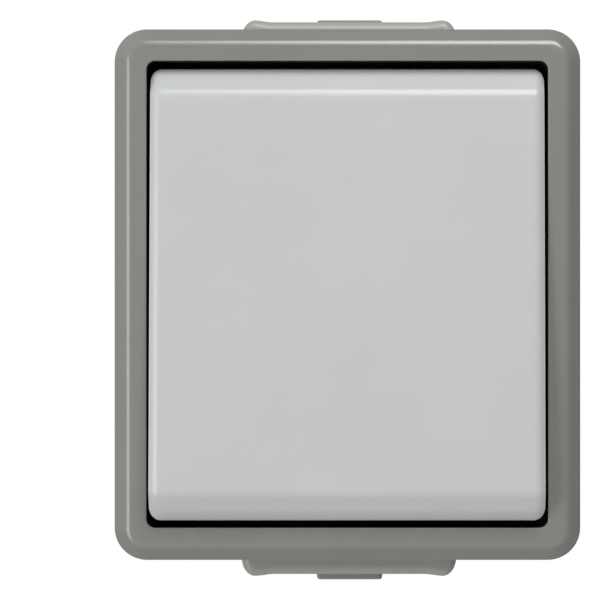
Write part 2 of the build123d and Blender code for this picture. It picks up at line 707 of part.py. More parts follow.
def terminal_pocket(side):
    """The pocket of a terminal block with its strip's channel, wire hole and screw hole."""
    channel_x = sorted((side * (STRIP_X - POCKET_PLAY), side * (STRIP_X + STRIP + POCKET_PLAY)))
    channel_y = (-CAM_ARM - CONTACT_HALF_WIDTH - POCKET_PLAY, BLOCK_Y[0])
    channel = span(channel_x, channel_y, (STRIP_FOOT - POCKET_PLAY, PLATE_LOW))
    pocket_x = sorted((side * (BLOCK_X[0] - POCKET_PLAY), side * (BLOCK_X[1] + POCKET_PLAY)))
    pocket_y = (BLOCK_Y[0] - POCKET_PLAY, BLOCK_Y[1] + POCKET_PLAY)
    pocket = span(pocket_x, pocket_y, (SOCKET_FLOOR, PLATE_LOW))
    wire_hole = post(
        WIRE_HOLE_RADIUS, SOCKET_BACK, SOCKET_FLOOR, side * WIRE_HOLE_X, WIRE_HOLE_Y
    )
    hole_x = sorted((side * BLOCK_X[1], side * SOCKET_HALF_WIDTH))
    screw_hole = bar(TERMINAL_HEAD + POCKET_PLAY, *hole_x, WIRE_HOLE_Y, BLOCK_Z)
    return channel + pocket + wire_hole + screw_hole


def fixed_contact(side):
    """A brass strip from its silver contact to its terminal."""
    contact_y = (-CAM_ARM - CONTACT_HALF_WIDTH, -CAM_ARM + CONTACT_HALF_WIDTH)
    outer_x = STRIP_X + STRIP
    shape = span((CONTACT_INNER, outer_x), contact_y, (PAD_TOP - STRIP, PAD_TOP))
    riser_y = (contact_y[0], BLOCK_Y[0])
    shape = shape + span((STRIP_X, outer_x), riser_y, (STRIP_FOOT, PAD_TOP))
    shape = shape + rivet(CONTACT_X, PAD_TOP, 1)
    return shape if side > 0 else mirror(shape, Plane.YZ)


def rivet(x, z, outwards):
    """A silver contact rivet on a strip's surface at z, standing outwards (1) or to the wall (-1)."""
    low, high = sorted((z - outwards * STRIP / 4, z + outwards * RIVET_HEIGHT))
    return post(RIVET_RADIUS, low, high, x, -CAM_ARM)


def terminal_block(side):
    """A brass clamp block with a wire hole and a tapped screw hole."""
    block_z = (BLOCK_Z - BLOCK_HALF_DEPTH, BLOCK_Z + BLOCK_HALF_DEPTH)
    shape = span(BLOCK_X, BLOCK_Y, block_z)
    shape = shape - post(WIRE_HOLE_RADIUS, *block_z, WIRE_HOLE_X, WIRE_HOLE_Y)
    shape = shape - bar(TERMINAL_THREAD, WIRE_HOLE_X, BLOCK_X[1], WIRE_HOLE_Y, BLOCK_Z)
    return shape if side > 0 else mirror(shape, Plane.YZ)


def terminal_screw(side):
    """A cheese-head screw with a driver slot, run in from the side of the insert."""
    head_x = (BLOCK_X[1] + 0.4, SOCKET_HALF_WIDTH - 0.2)
    shank_low = WIRE_HOLE_X + WIRE_HOLE_RADIUS + 0.1
    shank_radius = TERMINAL_THREAD - TAPPED_PLAY
    shape = bar(shank_radius, shank_low, head_x[0] + 0.2, WIRE_HOLE_Y, BLOCK_Z)
    shape = shape + bar(TERMINAL_HEAD, *head_x, WIRE_HOLE_Y, BLOCK_Z)
    slot_y = (WIRE_HOLE_Y - DRIVER_SLOT / 2, WIRE_HOLE_Y + DRIVER_SLOT / 2)
    slot_z = (BLOCK_Z - TERMINAL_HEAD, BLOCK_Z + TERMINAL_HEAD)
    shape = shape - span((head_x[1] - DRIVER_SLOT, head_x[1]), slot_y, slot_z)
    return shape if side > 0 else mirror(shape, Plane.YZ)


def driver_slot(x, y, low, high, radius):
    """The straight slot across a screw's head."""
    return span((x - radius, x + radius), (y - DRIVER_SLOT / 2, y + DRIVER_SLOT / 2), (low, high))


def insert_screws():
    """Four countersunk screws from the cap through the plate into the socket."""
    head_radius = 2.5
    head_height = 1.3
    head_top = CAP_TOP - 0.1
    screws = []
    for x, y in insert_screw_places():
        shank = post(INSERT_SCREW_RADIUS, INSERT_SCREW_FOOT, head_top - head_height / 2, x, y)
        head = Cone(head_radius - head_height, head_radius, head_height)
        screw = shank + Pos(x, y, head_top - head_height / 2) * head
        screws.append(screw - driver_slot(x, y, head_top - DRIVER_SLOT, head_top, head_radius))
    return together(screws)


def plate_screws():
    """Two pan-head screws that hold the insert's plate on the box's posts."""
    head_radius = 2.6
    head_top = PLATE_TOP + 1.8
    screws = []
    for x, y in post_places():
        if x * y > 0:
            continue
        shank = post(PLATE_SCREW_RADIUS, PLATE_LOW - PLATE_SCREW_LENGTH, PLATE_TOP + 0.2, x, y)
        head = post(head_radius, PLATE_TOP, head_top, x, y)
        head = fillet(head.edges().sort_by(Axis.Z)[-1], 0.7)
        slot = driver_slot(x, y, head_top - 1.5 * DRIVER_SLOT, head_top, head_radius)
        screws.append(shank + head - slot)
    return together(screws)


def plunger():
    """The slider that the cam leg pushes in, with a window for the contact bridge."""
    half_x = PLUNGER_WIDTH / 2
    half_y = PLUNGER_HEIGHT / 2
    top = CAM_NOSE_LOW - PLUNGER_GAP
    shape = span((-half_x, half_x), (-CAM_ARM - half_y, -CAM_ARM + half_y), (PLUNGER_FOOT, top))
    window_y = CONTACT_HALF_WIDTH + 2 * PLUNGER_PLAY
    window = span(
        (-half_x, half_x), (-CAM_ARM - window_y, -CAM_ARM + window_y),
        (BRIDGE_LOW - PLUNGER_GAP, BRIDGE_WINDOW_TOP),
    )
    spring_seat = post(SPRING_SEAT_RADIUS, PLUNGER_FOOT, SPRING_SEAT_TOP, 0, -CAM_ARM)
    return shape - window - spring_seat


def contact_bridge():
    """The moving brass bar with a silver contact at each end."""
    half_x = CONTACT_X + CONTACT_HALF_WIDTH
    bar_y = (-CAM_ARM - CONTACT_HALF_WIDTH, -CAM_ARM + CONTACT_HALF_WIDTH)
    shape = span((-half_x, half_x), bar_y, (BRIDGE_LOW, BRIDGE_LOW + STRIP))
    return shape + rivet(-CONTACT_X, BRIDGE_LOW, -1) + rivet(CONTACT_X, BRIDGE_LOW, -1)


def coil(wire, radius, low, high, turns):
    """A compression spring round the plunger's axis, between two seats."""
    bottom = low + SPRING_PLAY + wire / 2
    rise = high - low - 2 * SPRING_PLAY - wire
    path = Helix(rise / turns, rise, radius)
    section = Plane(origin=path @ 0, z_dir=path % 0) * Circle(wire / 2)
    return Pos(0, -CAM_ARM, bottom) * sweep(section, path=path)


def return_spring():
    """The spring under the plunger, from the well's floor to the plunger's seat."""
    return coil(RETURN_WIRE, RETURN_RADIUS, SOCKET_FLOOR, SPRING_SEAT_TOP, RETURN_TURNS)


def bridge_spring():
    """The spring that presses the contact bridge, inside the plunger's window."""
    return coil(BRIDGE_WIRE, BRIDGE_RADIUS, BRIDGE_LOW + STRIP, BRIDGE_WINDOW_TOP, BRIDGE_TURNS)


def save(name, shape):
    """Writes one piece, turned to stand on the wall."""
    export_step(stand_up(shape), "parts/" + name + ".step")


os.makedirs("parts", exist_ok=True)
save("back_box", back_box())
save("cover_frame", cover_frame())
save("opening_lining", opening_lining())
save("splash_seal", splash_seal())
save("cover_gasket", cover_gasket())
save("cable_membrane_top", cable_membrane(1))
save("cable_membrane_bottom", cable_membrane(-1))
save("support_plate", support_plate())
save("plate_screws", plate_screws())
save("socket_body", socket_body())
save("socket_cap", socket_cap())
save("insert_screws", insert_screws())
save("plunger", plunger())
save("contact_bridge", contact_bridge())
save("bridge_spring", bridge_spring())
save("return_spring", return_spring())
save("rocker_carrier", rocker_carrier())
save("button_plate", button_plate())
for label, side in (("left", -1), ("right", 1)):
    save("fixed_contact_" + label, fixed_contact(side))
    save("terminal_block_" + label, terminal_block(side))
    save("terminal_screw_" + label, terminal_screw(side))
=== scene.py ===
# %% [markdown]
# # A pushbutton switch for damp rooms, dressed for its picture
#
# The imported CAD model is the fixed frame: every solid already lies at its place, in metres,
# hanging on the wall with its back at y = 0 and its button towards -Y. This notebook gives
# the switch its looks: finer surfaces where the picture needs them, a finish for every
# piece, soft studio light and a camera at the photograph's angle.

# %% Load the frame
import bpy
import bmesh
import json
import numpy as np
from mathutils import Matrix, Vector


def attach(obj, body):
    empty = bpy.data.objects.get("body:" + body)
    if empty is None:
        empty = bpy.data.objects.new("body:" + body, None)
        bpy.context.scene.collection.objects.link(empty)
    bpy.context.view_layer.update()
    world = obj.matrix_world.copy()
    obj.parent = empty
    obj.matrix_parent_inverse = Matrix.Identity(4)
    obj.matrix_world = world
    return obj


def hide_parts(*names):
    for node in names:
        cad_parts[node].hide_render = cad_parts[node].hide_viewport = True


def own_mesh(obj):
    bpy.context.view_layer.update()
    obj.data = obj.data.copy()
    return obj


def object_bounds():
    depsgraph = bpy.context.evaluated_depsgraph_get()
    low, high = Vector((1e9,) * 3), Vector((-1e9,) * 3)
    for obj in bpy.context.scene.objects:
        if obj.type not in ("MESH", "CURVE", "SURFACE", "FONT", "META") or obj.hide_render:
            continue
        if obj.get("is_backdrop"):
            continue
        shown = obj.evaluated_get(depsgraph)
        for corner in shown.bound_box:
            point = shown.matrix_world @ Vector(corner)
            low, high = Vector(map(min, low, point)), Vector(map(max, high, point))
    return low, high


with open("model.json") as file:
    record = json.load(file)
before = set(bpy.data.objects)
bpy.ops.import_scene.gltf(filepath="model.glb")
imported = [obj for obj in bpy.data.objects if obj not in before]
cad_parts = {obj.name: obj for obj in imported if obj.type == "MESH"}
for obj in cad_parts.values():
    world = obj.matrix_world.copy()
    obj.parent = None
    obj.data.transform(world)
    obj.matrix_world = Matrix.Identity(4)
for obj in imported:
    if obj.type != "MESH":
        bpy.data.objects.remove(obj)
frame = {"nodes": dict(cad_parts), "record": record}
cad_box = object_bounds()
print("CAD box in mm:", [[round(float(v) * 1000, 2) for v in corner] for corner in cad_box])

# %% [markdown]
# ## From arrays to meshes
#
# Every new surface is a grid of points. It is worked out in millimetres with the switch
# lying on its back (x to the right, y up the wall, z out of the wall), because the drawing
# of such a part is made that way, and is stood up on the wall at the end. A grid could
# also be modelled by hand and subdivided; arrays are chosen because the sizes of the real
# part can be read in them.

# %% From points to a mesh
MM = 0.001


def standing(points):
    """(x, y, z) in millimetres, lying, becomes (x, -z, y) in metres, on the wall."""
    x, y, z = np.moveaxis(np.asarray(points, dtype=float), -1, 0)
    return np.stack([x, -z, y], axis=-1) * MM


def grid_faces(rows, columns, ring_columns):
    """Each point (i, j) starts a quad with (i, j+1), (i+1, j+1) and (i+1, j).

    Where the columns form a ring, the last one is followed by the first.
    """
    i, j = np.meshgrid(
        np.arange(rows - 1), np.arange(columns if ring_columns else columns - 1), indexing="ij"
    )
    beside = (j + 1) % columns
    here = i * columns
    below = here + columns
    return np.stack([here + j, here + beside, below + beside, below + j], -1).reshape(-1, 4)


def soften(mesh, gap, angle=32.0):
    """Merges points closer than gap, turns the faces out and shades smooth up to an angle."""
    work = bmesh.new()
    work.from_mesh(mesh)
    bmesh.ops.remove_doubles(work, verts=work.verts, dist=gap)
    bmesh.ops.recalc_face_normals(work, faces=work.faces)
    work.to_mesh(mesh)
    work.free()
    mesh.shade_smooth()
    mesh.set_sharp_from_angle(angle=np.radians(angle))


def piece_from_grids(name, grids):
    """One closed mesh from several grids, given as (points, ring_columns).

    Grids that touch are merged along their seams, and a row that shrinks to one point
    becomes a pole.
    """
    counts = np.cumsum([0] + [grid.shape[0] * grid.shape[1] for grid, ring in grids])
    points = np.concatenate([standing(grid).reshape(-1, 3) for grid, ring in grids])
    faces = np.concatenate([
        grid_faces(*grid.shape[:2], ring) + first
        for (grid, ring), first in zip(grids, counts)
    ])
    mesh = bpy.data.meshes.new(name)
    mesh.from_pydata(points.tolist(), [], faces.tolist())
    soften(mesh, 1e-6)
    piece = bpy.data.objects.new(name, mesh)
    bpy.context.scene.collection.objects.link(piece)
    print(name, "has", len(mesh.vertices), "points and", len(mesh.polygons), "faces")
    return piece


# %% [markdown]
# ## Rounded lines and rounded frames
#
# A moulding has no sharp edges: each corner of its profile is a small arc, and it is that
# arc which catches the light as a thin bright line. The profile is therefore a line of
# corners with radii, and a frame carries it round a rounded rectangle.

# %% A profile with rounded corners
def rounded_path(corners, radii, steps=8, aside=0.04):
    """A closed line whose corners are arcs, as an array of points.

    The arc at a corner lies between the points a and b where it leaves the two sides:
    centre + (sin((1-t)s) (a-centre) + sin(t s) (b-centre)) / sin(s), with s its sweep.
    One more point stands a little way along each side, so that flats shade flat.
    """
    corner = np.array(corners, dtype=float)
    radius = np.array(radii, dtype=float)[:, None]
    back = np.roll(corner, 1, axis=0) - corner
    ahead = np.roll(corner, -1, axis=0) - corner
    back /= np.linalg.norm(back, axis=1, keepdims=True)
    ahead /= np.linalg.norm(ahead, axis=1, keepdims=True)
    half = np.arccos(np.sum(back * ahead, axis=1, keepdims=True)) / 2
    start = corner + back * radius / np.tan(half)
    end = corner + ahead * radius / np.tan(half)
    bisector = (back + ahead) / np.linalg.norm(back + ahead, axis=1, keepdims=True)
    centre = corner + bisector * radius / np.sin(half)
    sweep = (np.pi - 2 * half)[:, None, :]
    share = np.linspace(0, 1, steps + 1)[None, :, None]
    spread = np.sin((1 - share) * sweep) * (start - centre)[:, None]
    spread = spread + np.sin(share * sweep) * (end - centre)[:, None]
    arc = centre[:, None] + spread / np.sin(sweep)
    before = (start + aside * back)[:, None]
    after = (end + aside * ahead)[:, None]
    return np.concatenate([before, arc, after], axis=1).reshape(-1, 2)


# %% A rounded rectangle for each row of a grid
def frame_rings(half_x, half_y, wide, tall, side_x, side_y, steps=16):
    """For each row a rounded rectangle: corner middle + (wide * cos a, tall * sin a).

    Between the arcs stand the points side_x along the level sides and side_y along the
    upright ones, at the same place in every row.
    """
    rows = len(half_x)
    turn = np.linspace(0, np.pi / 2, steps + 1)
    mid_x = (half_x - wide)[:, None]
    mid_y = (half_y - tall)[:, None]
    near_x, far_x = wide[:, None] * np.sin(turn), wide[:, None] * np.cos(turn)
    near_y, far_y = tall[:, None] * np.cos(turn), tall[:, None] * np.sin(turn)
    along_x = np.broadcast_to(side_x, (rows, len(side_x)))
    along_y = np.broadcast_to(side_y, (rows, len(side_y)))
    top = np.repeat(half_y[:, None], len(side_x), axis=1)
    right = np.repeat(half_x[:, None], len(side_y), axis=1)
    x = [mid_x + far_x, -along_x, -mid_x - near_x, -right]
    x += [-mid_x - far_x, along_x, mid_x + near_x, right]
    y = [mid_y + far_y, top, mid_y + near_y, -along_y]
    y += [-mid_y - far_y, -top, -mid_y - near_y, along_y]
    return np.concatenate(x, axis=1), np.concatenate(y, axis=1)


def carried_round(profile, half_width, half_height, corner_of, side_x, side_y):
    """A closed profile of (inset, height) points carried round a rounded rectangle."""
    closed = np.concatenate([profile, profile[:1]])
    inset, height = closed.T
    corner = corner_of(inset)
    x, y = frame_rings(
        half_width - inset, half_height - inset, corner, corner, side_x, side_y
    )
    return np.stack([x, y, np.broadcast_to(height[:, None], x.shape)], axis=-1)


def with_ends(rows):
    """A tube of rows closed at both ends by a fan to the middle of its first and last row."""
    first = np.broadcast_to(rows[:1].mean(axis=1, keepdims=True), rows[:1].shape)
    last = np.broadcast_to(rows[-1:].mean(axis=1, keepdims=True), rows[-1:].shape)
    return np.concatenate([first, rows, last])


# %% [markdown]
# ## The cover frame
#
# On the real switch this is one dark grey moulding: a deep skirt, a 45 degree band, a
# rounded crest and a flat face that ends at the opening, with a lip behind it that holds
# the black lining. It could be a box with bevels, but the bevels would not turn from the
# wide outer corner to the tight corner of the opening. A profile carried round does.

# %% Build the cover frame
# Sizes in millimetres: half width and half height, heights above the wall, and the points
# where the straight sides of each ring are divided.
COVER_HALF = (33.0, 37.6)
COVER_FACE = 46.0
SKIRT_FOOT = 25.9
LINING_FRONT = 45.6
LIP_FOOT = 37.2
COVER_SIDE_X = np.array([-27.0, 27.0])
COVER_SIDE_Y = np.array([-31.6, 31.6])
CORNER_INSETS = [0.0, 2.0, 3.275, 4.175, 4.675]
CORNER_RADII = [4.6, 2.6, 2.65, 1.75, 1.25]
HOOK_SECTION = [(31.3, 28.8), (29.9, 30.2), (29.9, 30.6), (31.3, 30.6)]
HOOK_HALF_LENGTH = 3.0
HOOK_Y = 18.0


def cover_corner(inset):
    """Corner radius at an inset: wide outside, tight at the opening."""
    return np.interp(inset, CORNER_INSETS, CORNER_RADII)


cover_profile = rounded_path(
    corners=[
        (0.0, SKIRT_FOOT), (0.0, 44.05), (1.95, COVER_FACE), (4.675, COVER_FACE),
        (4.675, LINING_FRONT), (4.175, LINING_FRONT), (4.175, LIP_FOOT), (3.275, LIP_FOOT),
        (3.275, 44.0), (2.0, 44.0), (2.0, 27.5), (0.65, 27.5), (0.65, SKIRT_FOOT),
    ],
    radii=[0.2, 1.3, 1.7, 0.12, 0.08, 0.08, 0.12, 0.12, 0.3, 0.3, 0.15, 0.15, 0.15],
)
cover_grid = carried_round(
    cover_profile, *COVER_HALF, cover_corner, COVER_SIDE_X, COVER_SIDE_Y
)


def snap_hook(side, y):
    """A wedge inside the skirt: the four corners of its section at each of its two ends."""
    section_x, section_z = np.array(HOOK_SECTION).T
    ends = np.repeat([[y - HOOK_HALF_LENGTH], [y + HOOK_HALF_LENGTH]], 4, axis=1)
    x = np.broadcast_to(section_x * side, (2, 4))
    z = np.broadcast_to(section_z, (2, 4))
    return with_ends(np.stack([x, ends, z], axis=-1))


hooks = [(snap_hook(side, y), True) for side in (-1, 1) for y in (-HOOK_Y, HOOK_Y)]
cover = piece_from_grids("cover_shell", [(cover_grid, True)] + hooks)
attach(cover, "housing")
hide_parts("cover_frame")

# %% [markdown]
# ## The black lining of the opening
#
# A soft black strip lines the opening: it stands for the seal, and its black is also painted
# shade that keeps the gap round the button showing no light. It could be painted on the cover,
# but it is a piece of its own, half a millimetre thick and set back a little from the face, and
# its shadow line is what the picture shows.

# %% Build the lining
LINING_HALF = (28.825, 33.425)
LINING_WALL = 0.5
LINING_CORNER = 1.75


def lining_corner(inset):
    """Corner radius at an inset: the wall stays as thick in the corners as along the sides."""
    return LINING_CORNER - inset


lining_profile = rounded_path(
    corners=[
        (0.0, LIP_FOOT), (0.0, LINING_FRONT), (LINING_WALL, LINING_FRONT),
        (LINING_WALL, LIP_FOOT),
    ],
    radii=[0.06, 0.06, 0.15, 0.06],
    steps=4,
)
lining_grid = carried_round(
    lining_profile, *LINING_HALF, lining_corner, COVER_SIDE_X, COVER_SIDE_Y
)
# Its black is the seal's own colour and also painted shade for the deep gap round the button.
lining = piece_from_grids("opening_lining_painted_shade", [(lining_grid, True)])
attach(lining, "housing")
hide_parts("opening_lining")

# %% [markdown]
# ## The button
#
# The large button is a shell with a flat face, a bevel at its top and bottom, well rounded
# long sides, and ends that are gently rounded at the top and fuller at the bottom. Its
# height is a function of the place on it: the height of the face, less the fall of the
# bevels, less an arc along the edge. The face bends ever faster into each bevel, which puts
# a thin bright line on the crest. Along the long sides the arc ends on a sloping land a
# tenth of a millimetre wide, where the mould parted, which catches the light as a hairline.
# A box with bevels would give one radius all the way round; here the arcs of the sides run
# out into those of the ends, round an oval corner.

# %% Heights on the button
# Sizes in millimetres, of the button lying level: half width and half height, heights above
# the wall, and the reach and radius of each arc along the edge.
BUTTON_HALF = (27.8, 31.9)
BUTTON_FACE = 48.1
BUTTON_FOOT = 41.0
BUTTON_WALL = 1.9
BEVEL_WIDTH = 3.65
BEVEL_DROP = 2.1
BLEND = 1.8
SIDE_ARC = (1.6, 2.0)
TOP_ARC = (1.45, 6.0)
BOTTOM_ARC = (1.45, 1.65)
# The land's width as a share of the arc's reach, its slope, and the half axes of the corner.
LAND = 0.075
LAND_SLOPE = 0.33
CORNER_WIDE = 1.5
CORNER_TALL = 1.9
# The foot of the wall and the place where the wall meets the land are rounded off.
FOOT_ROUND = 0.15
FOOT_CHAMFER = 0.04
UNDER_LAND = 0.1
LAND_EDGE = 0.03
LAND_EDGE_SHARE = 0.018
# At rest the button leans: it is shifted down and turned about the rocker's axis.
REST_SHIFT = -0.2
AXIS_HEIGHT = 41.0
REST_LEAN = 3.3


def bevelled(y, half, face):
    """Height along y: the face, a blend that bends ever faster, then the bevel's straight fall.

    Over the blend the slope grows with the square of the way u from 0 to 1, so the fall is
    slope * BLEND * u^3 / 3, and the blend starts 2/3 of its width before the bevel's edge.
    """
    slope = BEVEL_DROP / BEVEL_WIDTH
    past = np.abs(y) - (half - BEVEL_WIDTH - BLEND * 2 / 3)
    share = np.clip(past / BLEND, 0, 1)
    return face - slope * (BLEND * share**3 / 3 + np.clip(past - BLEND, 0, None))


def tilted(points):
    """The level points shifted down and turned about the rocker's axis, lower end out."""
    x, y, z = np.moveaxis(points, -1, 0)
    y = y + REST_SHIFT
    turn = np.radians(REST_LEAN)
    rise = z - AXIS_HEIGHT
    up = y * np.cos(turn) + rise * np.sin(turn)
    out = AXIS_HEIGHT + rise * np.cos(turn) - y * np.sin(turn)
    return np.stack([x, up, out], axis=-1)


# %% Build the button
CORNER_STEPS = 12
# Close rows of points where the face bends into the bevels, and even ones between them.
side_x = np.linspace(-26.0, 26.0, 27)
crest_y = np.linspace(26.9, 29.7, 29)
side_y = np.concatenate([-crest_y[::-1], np.linspace(-26.3, 26.3, 28), crest_y])

# One ring for each inset: down the inner wall, round the foot, up the outer wall, and in
# along the arc of the edge. The share says how far in along the arc a ring lies, 0 to 1.
share = np.concatenate([[0.0, LAND_EDGE_SHARE], np.linspace(LAND, 1.0, 16)])
foot_insets = np.array(
    [BUTTON_WALL, BUTTON_WALL, BUTTON_WALL - FOOT_ROUND, FOOT_ROUND, FOOT_CHAMFER, 0.0, 0.0]
)
inset_x = np.concatenate([foot_insets, SIDE_ARC[0] * share])
inset_y = np.concatenate([foot_insets, TOP_ARC[0] * share])
corner_share = np.concatenate([np.zeros(3), np.ones(4), 1 - share])
shell_x, shell_y = frame_rings(
    BUTTON_HALF[0] - inset_x, BUTTON_HALF[1] - inset_y,
    CORNER_WIDE * corner_share, CORNER_TALL * corner_share, side_x, side_y, CORNER_STEPS,
)

# The way each column faces: along x on the long sides, along y at the ends. The square of
# its x part shares the arc between that of the sides and that of the end.
facing = frame_rings(*np.ones((4, 1)), 0 * side_x, 0 * side_y, CORNER_STEPS)
facing_x, facing_y = facing[0][0], facing[1][0]
at_end = np.where(facing_y > 0, *np.array([TOP_ARC, BOTTOM_ARC])[:, :, None])
reach, radius = at_end * (1 - facing_x**2) + np.outer(SIDE_ARC, facing_x**2)

# The fall along the edge is radius - sqrt(radius^2 - d^2), with d the distance from the
# inner end of the arc. Across the land it follows the land's even slope instead.
past_land = np.maximum(share[:, None], LAND * facing_x**2)
edge_drop = radius - np.sqrt(radius**2 - (reach * (1 - past_land)) ** 2)
edge_drop += LAND_SLOPE * reach * (past_land - share[:, None])

inner_half = BUTTON_HALF[1] - BUTTON_WALL
ceiling = bevelled(shell_y, inner_half, BUTTON_FACE - BUTTON_WALL)
outside = bevelled(shell_y, BUTTON_HALF[1], BUTTON_FACE)
foot_heights = np.array([FOOT_ROUND, 0.0, 0.0, FOOT_CHAMFER, FOOT_ROUND])
shell_z = outside.copy()
shell_z[0] = ceiling[0]
shell_z[1:6] = BUTTON_FOOT + foot_heights[:, None]
shell_z[6] = outside[6] - edge_drop[0] - UNDER_LAND
shell_z[7:] -= edge_drop
shell_z[7] -= LAND_EDGE
shell = np.stack([shell_x, shell_y, shell_z], axis=-1)


def top_patch(half_x, half_y, height_of):
    """The field inside a ring: the ring's own side points crossed with each other."""
    x = np.concatenate([[-half_x], side_x, [half_x]])
    y = np.concatenate([[-half_y], side_y, [half_y]])
    x, y = np.meshgrid(x, y)
    return np.stack([x, y, height_of(y)], axis=-1)


face_patch = top_patch(
    BUTTON_HALF[0] - SIDE_ARC[0],
    BUTTON_HALF[1] - TOP_ARC[0],
    lambda y: bevelled(y, BUTTON_HALF[1], BUTTON_FACE),
)
ceiling_patch = top_patch(
    BUTTON_HALF[0] - BUTTON_WALL,
    inner_half,
    lambda y: bevelled(y, inner_half, BUTTON_FACE - BUTTON_WALL),
)
print("button shell:", shell.shape[0], "rings of", shell.shape[1], "points")

# %% [markdown]
# Under the face the real moulding has thin ribs that keep it flat, and four barbed pins
# that snap through the carrier. They only show when the switch is taken apart, so each is
# a simple closed tube: a small ring of points carried along a line.

# %% Ribs and snap pins of the button
def beam(x, y, z):
    """A bar between two limits each way: the ring of its section at its two ends."""
    ring_y = np.array([y[0], y[1], y[1], y[0]])
    ring_z = np.array([z[0], z[0], z[1], z[1]])
    ends = np.repeat(np.array(x, dtype=float)[:, None], 4, axis=1)
    return with_ends(np.stack([ends, np.tile(ring_y, (2, 1)), np.tile(ring_z, (2, 1))], -1))


def turned(x, y, radii, heights, steps=24):
    """A turned post: a circle of each radius at each height."""
    angle = np.linspace(0, 2 * np.pi, steps, endpoint=False)
    radius = np.array(radii)[:, None]
    height = np.broadcast_to(np.array(heights)[:, None], (len(heights), steps))
    across, up = radius * np.cos(angle), radius * np.sin(angle)
    return with_ends(np.stack([x + across, y + up, height], axis=-1))


RIB_FOOT = 44.9
RIB_HALF = 0.5
RIB_ENDS_X = (-26.1, 26.1)
RIB_ENDS_Y = (-28.0, 28.0)
PIN_X = 10.0
PIN_Y = 10.5
PIN_RADII = [1.1, 1.75, 1.5, 1.5]
# Ribs and pins start a little inside the face's wall, so that they grow out of it.
CEILING = BUTTON_FACE - BUTTON_WALL + 0.2
PIN_HEIGHTS = [42.0, 43.2, 43.25, CEILING]
rib_span = (RIB_FOOT, CEILING)
ribs = [beam(RIB_ENDS_X, (y - RIB_HALF, y + RIB_HALF), rib_span) for y in (-24.0, 20.5)]
ribs += [beam((x - RIB_HALF, x + RIB_HALF), RIB_ENDS_Y, rib_span) for x in (-20.0, 20.0)]
pins = [
    turned(x, y - REST_SHIFT, PIN_RADII, PIN_HEIGHTS)
    for x in (-PIN_X, PIN_X) for y in (-PIN_Y, PIN_Y)
]
open_grids = [(tilted(patch), False) for patch in (face_patch, ceiling_patch)]
closed_grids = [(tilted(grid), True) for grid in ribs + pins]
button_grids = [(tilted(shell), True)] + open_grids + closed_grids
button = piece_from_grids("button_shell", button_grids)
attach(button, "rocker")
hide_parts("button_plate")

# %% [markdown]
# ## The pieces that the CAD model already shapes well
#
# The box with its cable spouts, the membranes and the whole insert have their true shape in
# the solids. Their meshes are loose triangles, which would show each facet, so a copy of
# each is merged, shaded smooth and stands for its node. Its flat walls stay flat, as they
# are on a moulding, and only the fillets between them catch the light as bands.

# %% Smooth copies
MERGE_GAP = 2e-7
HOUSING_COPIES = [
    "back_box", "cable_membrane_top", "cable_membrane_bottom", "cover_gasket", "splash_seal",
    "support_plate", "plate_screws", "socket_body", "socket_cap", "insert_screws",
    "return_spring", "fixed_contact_left", "fixed_contact_right", "terminal_block_left",
    "terminal_block_right", "terminal_screw_left", "terminal_screw_right",
]
SLOTS = {entry["node"]: entry["material_slot"] for entry in frame["record"]["subparts"]}


def smooth_copy(node, body):
    """A merged copy of a CAD node, shaded smooth, that stands for it on the same body.

    Its normals are weighted by the area of the faces: a large flat wall keeps its own normal
    up to its edge, and the narrow fillet beside it takes the whole turn.
    """
    mesh = frame["nodes"][node].data.copy()
    mesh.name = node + "_smooth"
    mesh.materials.clear()
    # The normals that a CAD mesh brings fit its loose triangles only.
    if "custom_normal" in mesh.attributes:
        mesh.attributes.remove(mesh.attributes["custom_normal"])
    soften(mesh, MERGE_GAP)
    piece = bpy.data.objects.new(node + "_smooth", mesh)
    bpy.context.scene.collection.objects.link(piece)
    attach(piece, body)
    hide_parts(node)
    weighted = piece.modifiers.new("flat walls", "WEIGHTED_NORMAL")
    weighted.keep_sharp = True
    return piece


copies = {node: smooth_copy(node, "housing") for node in HOUSING_COPIES}
copies["rocker_carrier"] = smooth_copy("rocker_carrier", "rocker")
for slider_node in ("plunger", "contact_bridge", "bridge_spring"):
    copies[slider_node] = smooth_copy(slider_node, "slider")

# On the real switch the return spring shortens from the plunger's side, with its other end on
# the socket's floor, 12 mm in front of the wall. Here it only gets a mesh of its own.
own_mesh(copies["return_spring"])
print(len(copies), "smooth copies")

# %% [markdown]
# ## Finishes
#
# The switch is nearly all moulded plastic. The mould was spark-eroded, which leaves a fine
# even grain, so the plastic has a soft satin shine. Colours are written as they are seen, in
# sRGB, and one function turns them to the linear values that the shaders use. One small
# function adds a node with its settings and links.

# %% Colours and nodes
def linear(code):
    """An sRGB colour such as "c7c9c8" as linear red, green, blue and alpha."""
    value = np.array([int(code[k:k + 2], 16) for k in (0, 2, 4)]) / 255
    value = np.where(value > 0.04045, ((value + 0.055) / 1.055) ** 2.4, value / 12.92)
    return (*value.tolist(), 1.0)


def add(tree, kind, settings=(), links=()):
    """Adds a node, sets its inputs or properties by name and links inputs to other sockets.

    Where inputs share a name, as on a Math node, they go by their number.
    """
    node = tree.nodes.new(kind)
    for name, value in dict(settings).items():
        if isinstance(name, int) or name in node.inputs:
            node.inputs[name].default_value = value
        else:
            setattr(node, name, value)
    for name, socket in dict(links).items():
        tree.links.new(socket, node.inputs[name])
    return node


def blank(name):
    """A material with an empty tree, its shader and the object's own coordinates."""
    material = bpy.data.materials.new(name)
    material.use_nodes = True
    tree = material.node_tree
    tree.nodes.clear()
    shader = add(tree, "ShaderNodeBsdfPrincipled")
    add(tree, "ShaderNodeOutputMaterial", links={"Surface": shader.outputs["BSDF"]})
    place = add(tree, "ShaderNodeTexCoord").outputs["Object"]
    return material, tree, shader, place


print("sRGB 808080 is", [round(v, 3) for v in linear("808080")[:3]], "in linear light")

